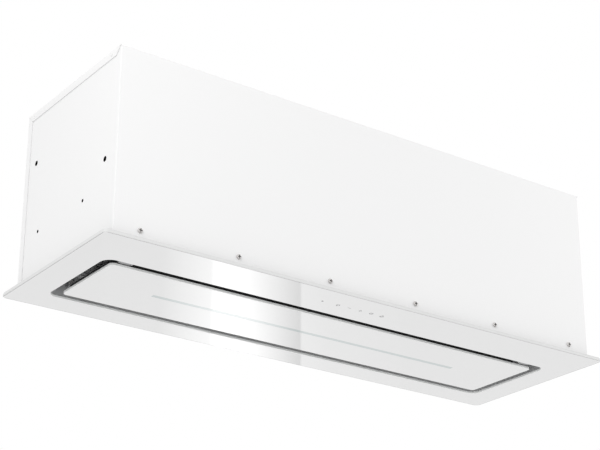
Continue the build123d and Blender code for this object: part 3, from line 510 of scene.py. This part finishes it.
FINISHES = {
    # Painted shade on the rims of the side holes and on the lips' cut edges
    "casing_paint": (powder_coat, dict(colour=WHITE_PAINT, painted_shade=True)),
    # The carrier's upward faces are darker as painted shade, which dims the light on the casing above its
    # flange
    "carrier_steel": (powder_coat, dict(colour=(0.78, 0.78, 0.78), rough=0.46, back=(0.30, 0.30, 0.30))),
    # Glass: the edges' glow is painted light, and the edges round the opening and of the panel are painted
    # lighter for the slots' shade
    "frame_glass": (painted_glass, dict(face=FACE_WHITE, edge=FRAME_EDGE, glow=0.05, inner=PAINTED_LIGHT_EDGE,
                                        arris="glass_frame")),
    "panel_glass_white": (painted_glass, dict(face=FACE_WHITE, edge=PAINTED_LIGHT_EDGE, glow=0.03)),
    "liner_sheet": (sheet_metal, dict(colour=(0.62, 0.625, 0.63), rough=0.46, metallic=0.20,
                                      stretch=(1, 1, 30))),
    "hinge_steel": (sheet_metal, dict(colour=(0.42, 0.42, 0.425), rough=0.38, metallic=0.55)),
    # The pit colour is painted shade in the screws' cross recess
    "screw_zinc": (screw_metal, dict(colour=(0.74, 0.72, 0.71), recess_shade=(0.02, 0.02, 0.02))),
    "tray_paint": (powder_coat, dict(colour=(0.020, 0.021, 0.022), rough=0.55)),
    "light_channel": (sheet_metal, dict(colour=(0.72, 0.73, 0.74), rough=0.3, metallic=0.9,
                                        stretch=(1, 60, 60))),
    "light_board": (circuit_board, dict(mask=(0.80, 0.80, 0.76))),
    "opal_window": (opal, dict(colour=(0.615, 0.67, 0.67))),
    "magnet_steel": (sheet_metal, dict(colour=(0.55, 0.55, 0.57), rough=0.25, metallic=0.95)),
    "blower_sheet": (sheet_metal, dict(colour=(0.60, 0.61, 0.63), rough=0.36, metallic=0.88, spangle=0.55)),
    "wheel_sheet": (sheet_metal, dict(colour=(0.52, 0.53, 0.55), rough=0.33, metallic=0.9,
                                      stretch=(30, 1, 1), spangle=0.35)),
    "shaft_steel": (sheet_metal, dict(colour=(0.60, 0.60, 0.61), rough=0.22, metallic=0.97,
                                      stretch=(1, 60, 60))),
    "motor_case": (powder_coat, dict(colour=(0.055, 0.058, 0.062), rough=0.5)),
    "collar_plastic": (moulded, dict(colour=(0.045, 0.046, 0.048), rough=0.46)),
    "flap_plastic": (moulded, dict(colour=(0.060, 0.061, 0.064), rough=0.42)),
    "circuit_board": (circuit_board, dict(mask=(0.03, 0.17, 0.07))),
    "capacitor_case": (moulded, dict(colour=(0.70, 0.70, 0.68), rough=0.36)),
    "driver_plastic": (moulded, dict(colour=(0.78, 0.78, 0.76), rough=0.44)),
    "gland_plastic": (moulded, dict(colour=(0.33, 0.34, 0.35), rough=0.42)),
    "filter_aluminium": (sheet_metal, dict(colour=ALUMINIUM, rough=0.34, metallic=0.75,
                                           stretch=(40, 1, 1))),
    "filter_net": (sheet_metal, dict(colour=ALUMINIUM, rough=0.34, metallic=0.60, stretch=(9, 9, 9))),
    "catch_plastic": (moulded, dict(colour=(0.05, 0.05, 0.055), rough=0.4)),
}


def make_finishes():
    return {slot: make(slot, **values) for slot, (make, values) in FINISHES.items()}


def dress_nodes(finishes):
    for entry in record["subparts"]:
        mesh = nodes[entry["node"]].data
        mesh.materials.clear()
        mesh.materials.append(finishes[entry["material_slot"]])


# Short calls for meshes

def new_piece(name, bm, material, body):
    bmesh.ops.recalc_face_normals(bm, faces=bm.faces)
    mesh = bpy.data.meshes.new(name)
    bm.to_mesh(mesh)
    bm.free()
    mesh.materials.append(material)
    piece = bpy.data.objects.new(name, mesh)
    scene.collection.objects.link(piece)
    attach(piece, body)
    return piece


def stage_piece(name, corners, material):
    """One flat face that isn't part of the object."""
    mesh = bpy.data.meshes.new(name)
    mesh.from_pydata(corners, [], [range(len(corners))])
    mesh.materials.append(material)
    piece = bpy.data.objects.new(name, mesh)
    scene.collection.objects.link(piece)
    return piece


def circle(x, y, radius, count):
    turns = [2 * math.pi * n / count for n in range(count)]
    return [(x + radius * math.cos(turn), y + radius * math.sin(turn)) for turn in turns]


def at_height(points, z):
    return [(x, y, z) for x, y in points]


def wall(bm, first, second):
    """A closed strip of faces between two loops of vertices."""
    for n in range(len(first)):
        after = (n + 1) % len(first)
        bm.faces.new((first[n], first[after], second[after], second[n]))


def prism(bm, bottom, top):
    """A closed solid between two loops of points."""
    low = [bm.verts.new(point) for point in bottom]
    high = [bm.verts.new(point) for point in top]
    bm.faces.new(low[::-1])
    bm.faces.new(high)
    wall(bm, low, high)


# Touch symbols, printed on the face of the glass frame: a dot, power, minus, plus, a timer and a lamp
ICON_PLACES = (-0.0783, -0.0473, -0.0244, -0.0023, 0.0200, 0.0420)
ICON_Y = -0.1195
ICON_LINE = 0.0009
ICON_SIDES = 28
PRINT_DEPTH = 0.00003
DOT_RADIUS = 0.0018
DOT_SIDES = 24
POWER_RADIUS = 0.0028
POWER_BAR = (0.0012, 0.0040)
SIGN_HALF = 0.0028
TIMER_RADIUS = 0.0030
TIMER_HANDS = (0.0018, 0.0014)
LAMP_RADIUS = 0.0022
LAMP_FOOT_HALF = 0.0011
LAMP_FOOT_DROP = 0.0034
LAMP_RAYS = 5
RAY_ENDS = (0.0033, 0.0044)


class Print:
    """Flat print of one line width, about a symbol's middle."""

    def __init__(self, face):
        self.low, self.high = face - PRINT_DEPTH, face + PRINT_DEPTH
        self.bm = bmesh.new()
        self.x = 0.0

    def flat(self, points):
        prism(self.bm, at_height(points, self.low), at_height(points, self.high))

    def dot(self, radius):
        self.flat(circle(self.x, ICON_Y, radius, DOT_SIDES))

    def ring(self, radius):
        """A circle of the line's width."""
        inner = circle(self.x, ICON_Y, radius - ICON_LINE / 2, ICON_SIDES)
        outer = circle(self.x, ICON_Y, radius + ICON_LINE / 2, ICON_SIDES)
        loops = ((inner, self.low), (outer, self.low), (outer, self.high), (inner, self.high))
        rings = [[self.bm.verts.new(point) for point in at_height(points, z)] for points, z in loops]
        for first, second in zip(rings, rings[1:] + rings[:1]):
            wall(self.bm, first, second)

    def line(self, *points):
        """Straight strokes with square ends from point to point."""
        places = [Vector((self.x + x, ICON_Y + y)) for x, y in points]
        for start, end in zip(places, places[1:]):
            along = (end - start).normalized() * ICON_LINE / 2
            side = Vector((-along.y, along.x))
            self.flat([start - along + side, start - along - side, end + along - side, end + along + side])


def touch_icons(material):
    ink = Print(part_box("glass_frame")[0].z)
    dot, power, minus, plus, timer, lamp = ICON_PLACES
    ink.x = dot
    ink.dot(DOT_RADIUS)
    ink.x = power
    ink.ring(POWER_RADIUS)
    ink.line((0.0, POWER_BAR[0]), (0.0, POWER_BAR[1]))
    ink.x = minus
    ink.line((-SIGN_HALF, 0.0), (SIGN_HALF, 0.0))
    ink.x = plus
    ink.line((-SIGN_HALF, 0.0), (SIGN_HALF, 0.0))
    ink.line((0.0, -SIGN_HALF), (0.0, SIGN_HALF))
    ink.x = timer
    ink.ring(TIMER_RADIUS)
    ink.line((0.0, TIMER_HANDS[0]), (0.0, 0.0), (TIMER_HANDS[1], 0.0))
    ink.x = lamp
    ink.ring(LAMP_RADIUS)
    ink.line((-LAMP_FOOT_HALF, -LAMP_FOOT_DROP), (LAMP_FOOT_HALF, -LAMP_FOOT_DROP))
    for n in range(LAMP_RAYS):
        turn = math.pi * (n + 0.5) / LAMP_RAYS
        ink.line(*((reach * math.cos(turn), reach * math.sin(turn)) for reach in RAY_ENDS))
    new_piece("touch_icons", ink.bm, material, "casing")


# Expanded metal of the grease filters
NET_PITCH_X = 0.0095
NET_PITCH_Y = 0.0048
NET_STRAND_WIDTH = 0.0009
NET_STRAND_THICKNESS = 0.0003
NET_LAYERS = 3
NET_INSET = 0.0006
STRAND_RISE_SHARE = 0.42


def strand(bm, start, end, rise):
    """One flat strand, twisted as expanded metal is: its ends lie low and high."""
    along = (end - start).normalized()
    side = Vector((-along.y, along.x, 0)) * NET_STRAND_WIDTH / 2
    up = Vector((0, 0, rise))
    points = [start - side - up, start + side, end + side + up, end - side]
    prism(bm, points, [point + Vector((0, 0, NET_STRAND_THICKNESS)) for point in points])


def mesh_strands(x, y, half_x, half_y, aside):
    """The four strands of one mesh: a cross or, in a layer that lies half a mesh aside, a diamond."""
    if aside:
        corners = ((x, y - half_y), (x + half_x, y), (x, y + half_y), (x - half_x, y))
        return zip(corners, corners[1:] + corners[:1])
    middle = (x, y)
    return (((x - half_x, y - half_y), middle), ((x + half_x, y - half_y), middle),
            (middle, (x - half_x, y + half_y)), (middle, (x + half_x, y + half_y)))


def filter_net(place, material):
    """Layers of expanded metal, each a lattice of slanted strands, in place of the filter's plain mesh."""
    node = f"filter_mesh_{place}"
    low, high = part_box(node)
    left, right = low.x + NET_INSET, high.x - NET_INSET
    front, rear = low.y + NET_INSET, high.y - NET_INSET
    columns = int((right - left) / NET_PITCH_X)
    rows = int((rear - front) / NET_PITCH_Y)
    half_x = (right - left) / columns / 2
    half_y = (rear - front) / rows / 2
    thickness = (high.z - low.z) / NET_LAYERS
    bm = bmesh.new()
    for layer in range(NET_LAYERS):
        z = low.z + thickness * (layer + 0.5)
        for row in range(rows):
            for column in range(columns):
                x = left + (2 * column + 1) * half_x
                y = front + (2 * row + 1) * half_y
                for start, end in mesh_strands(x, y, half_x, half_y, aside=layer % 2):
                    strand(bm, Vector((*start, z)), Vector((*end, z)), thickness * STRAND_RISE_SHARE)
    piece = new_piece(f"filter_net_{place}", bm, material, "casing")
    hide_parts(node)


# Floor, far below the ceiling that the hood hangs in
FLOOR_Z = -4.6
FLOOR_RADIUS = 22.5
FLOOR_SIDES = 96
FLOOR_PAINT = (0.92, 0.92, 0.92)
FLOOR_SHOWN_WHITE = 0.85


def floor():
    """White to the camera and in reflections, with a share of real shade left in it."""
    tree = material_tree("floor_white")
    tone = tree.mix(tree.noise(scale=5), shade(FLOOR_PAINT, 0.985), FLOOR_PAINT)
    tree.finish(tone, roughness=0.9)
    glow = tree.node("ShaderNodeEmission")
    tree.blend(tree.both(tree.seen(), FLOOR_SHOWN_WHITE), tree.nodes["Principled BSDF"], glow)
    stage_piece("floor", at_height(circle(0.0, 0.0, FLOOR_RADIUS, FLOOR_SIDES), FLOOR_Z), tree.owner)


# Soft box that the glass mirrors: its strength along its width, and the pixels that it spans there
CARD_LEVELS = ((0.0, 1.0), (0.20, 1.0), (0.275, 1.5), (0.370, 2.05), (0.374, 2.75), (0.49, 2.55),
               (0.565, 1.66), (0.668, 0.46), (0.672, 1.30), (0.76, 1.10), (1.0, 1.0))
CARD_STRENGTH = 3.0
CARD_LEFT_PIXEL = 100
CARD_RIGHT_PIXEL = 400
CARD_DISTANCE = 6.0
CARD_LOW = -1.61
CARD_HIGH = -0.55
CARD_CORNERS = ((0, 0), (1, 0), (1, 1), (0, 1))
PICTURE_WIDTH = 600
RAY_LEAN = 0.9412


def card_material():
    tree = material_tree("card_glow")
    along = tree.axes(tree.node("ShaderNodeTexCoord").outputs["UV"])[0]
    glow = tree.node("ShaderNodeEmission")
    glow.inputs["Strength"].default_value = CARD_STRENGTH
    levels = [(place, level / CARD_STRENGTH) for place, level in CARD_LEVELS]
    tree.feed(glow.inputs["Color"], tree.ramp(along, levels))
    tree.surface(glow)
    return tree.owner


def reflection_card():
    """A tall soft box beyond the hood, seen only in reflections."""
    forward = Vector((CAMERA_FORWARD[0], CAMERA_FORWARD[1], 0)).normalized()
    right = Vector((forward.y, -forward.x, 0))
    centre = Vector((CAMERA_PLACE[0], CAMERA_PLACE[1], 0)) + forward * CARD_DISTANCE
    focal_pixels = PICTURE_WIDTH * CAMERA_LENS / SENSOR
    ends = []
    for pixel in (CARD_LEFT_PIXEL, CARD_RIGHT_PIXEL):
        offset = CARD_DISTANCE * (pixel - PICTURE_WIDTH / 2) / focal_pixels / RAY_LEAN
        ends.append(centre + right * offset)
    heights = (CARD_LOW, CARD_HIGH)
    corners = [(ends[u].x, ends[u].y, heights[v]) for u, v in CARD_CORNERS]
    piece = stage_piece("reflection_card", corners, card_material())
    uv = piece.data.uv_layers.new(name="UVMap")
    for loop, corner in zip(uv.data, CARD_CORNERS):
        loop.uv = corner
    for ray in ("camera", "diffuse", "transmission", "volume_scatter", "shadow"):
        setattr(piece, f"visible_{ray}", False)


# Light
WORLD_LIGHT = 0.855
LAMP_TARGET = (0.0, 0.0, 0.12)

# Each lamp's name, place, width in metres and power in watts
LAMPS = (
    ("corner_lamp", (-1.5, -1.0, 0.70), 0.8, 6.9),
    ("right_lamp", (1.9, -1.2, 0.70), 0.8, 8.0),
    ("rear_lamp", (0.8, 3.2, 1.6), 2.2, 14.0),
    ("under_lamp", (0.0, 0.0, -3.4), 3.0, 7.0),
)


def world():
    """White where it is seen, and an even light on the object."""
    scene.world = bpy.data.worlds.new("studio")
    tree = Tree(scene.world, "World Output")
    light, shown = tree.nodes["Background"], tree.node("ShaderNodeBackground")
    for background, strength in ((light, WORLD_LIGHT), (shown, 1.0)):
        tree.feed(background.inputs["Color"], WHITE)
        background.inputs["Strength"].default_value = strength
    tree.blend(tree.seen(), light, shown)


def lamps():
    for name, place, width, power in LAMPS:
        data = bpy.data.lights.new(name, "AREA")
        data.shape = "SQUARE"
        data.size = width
        data.energy = power
        lamp = bpy.data.objects.new(name, data)
        lamp.location = place
        aim = Vector(LAMP_TARGET) - Vector(place)
        lamp.rotation_euler = aim.to_track_quat("-Z", "Y").to_euler()
        lamp.visible_glossy = False
        lamp.visible_camera = False
        scene.collection.objects.link(lamp)


add_camera()
finishes = make_finishes()
dress_nodes(finishes)
touch_icons(printed("icon_print", (0.10, 0.105, 0.11)))
for place in ("left", "middle", "right"):
    filter_net(place, finishes["filter_net"])
floor()
reflection_card()
world()
lamps()
scene.view_settings.view_transform = "Standard"
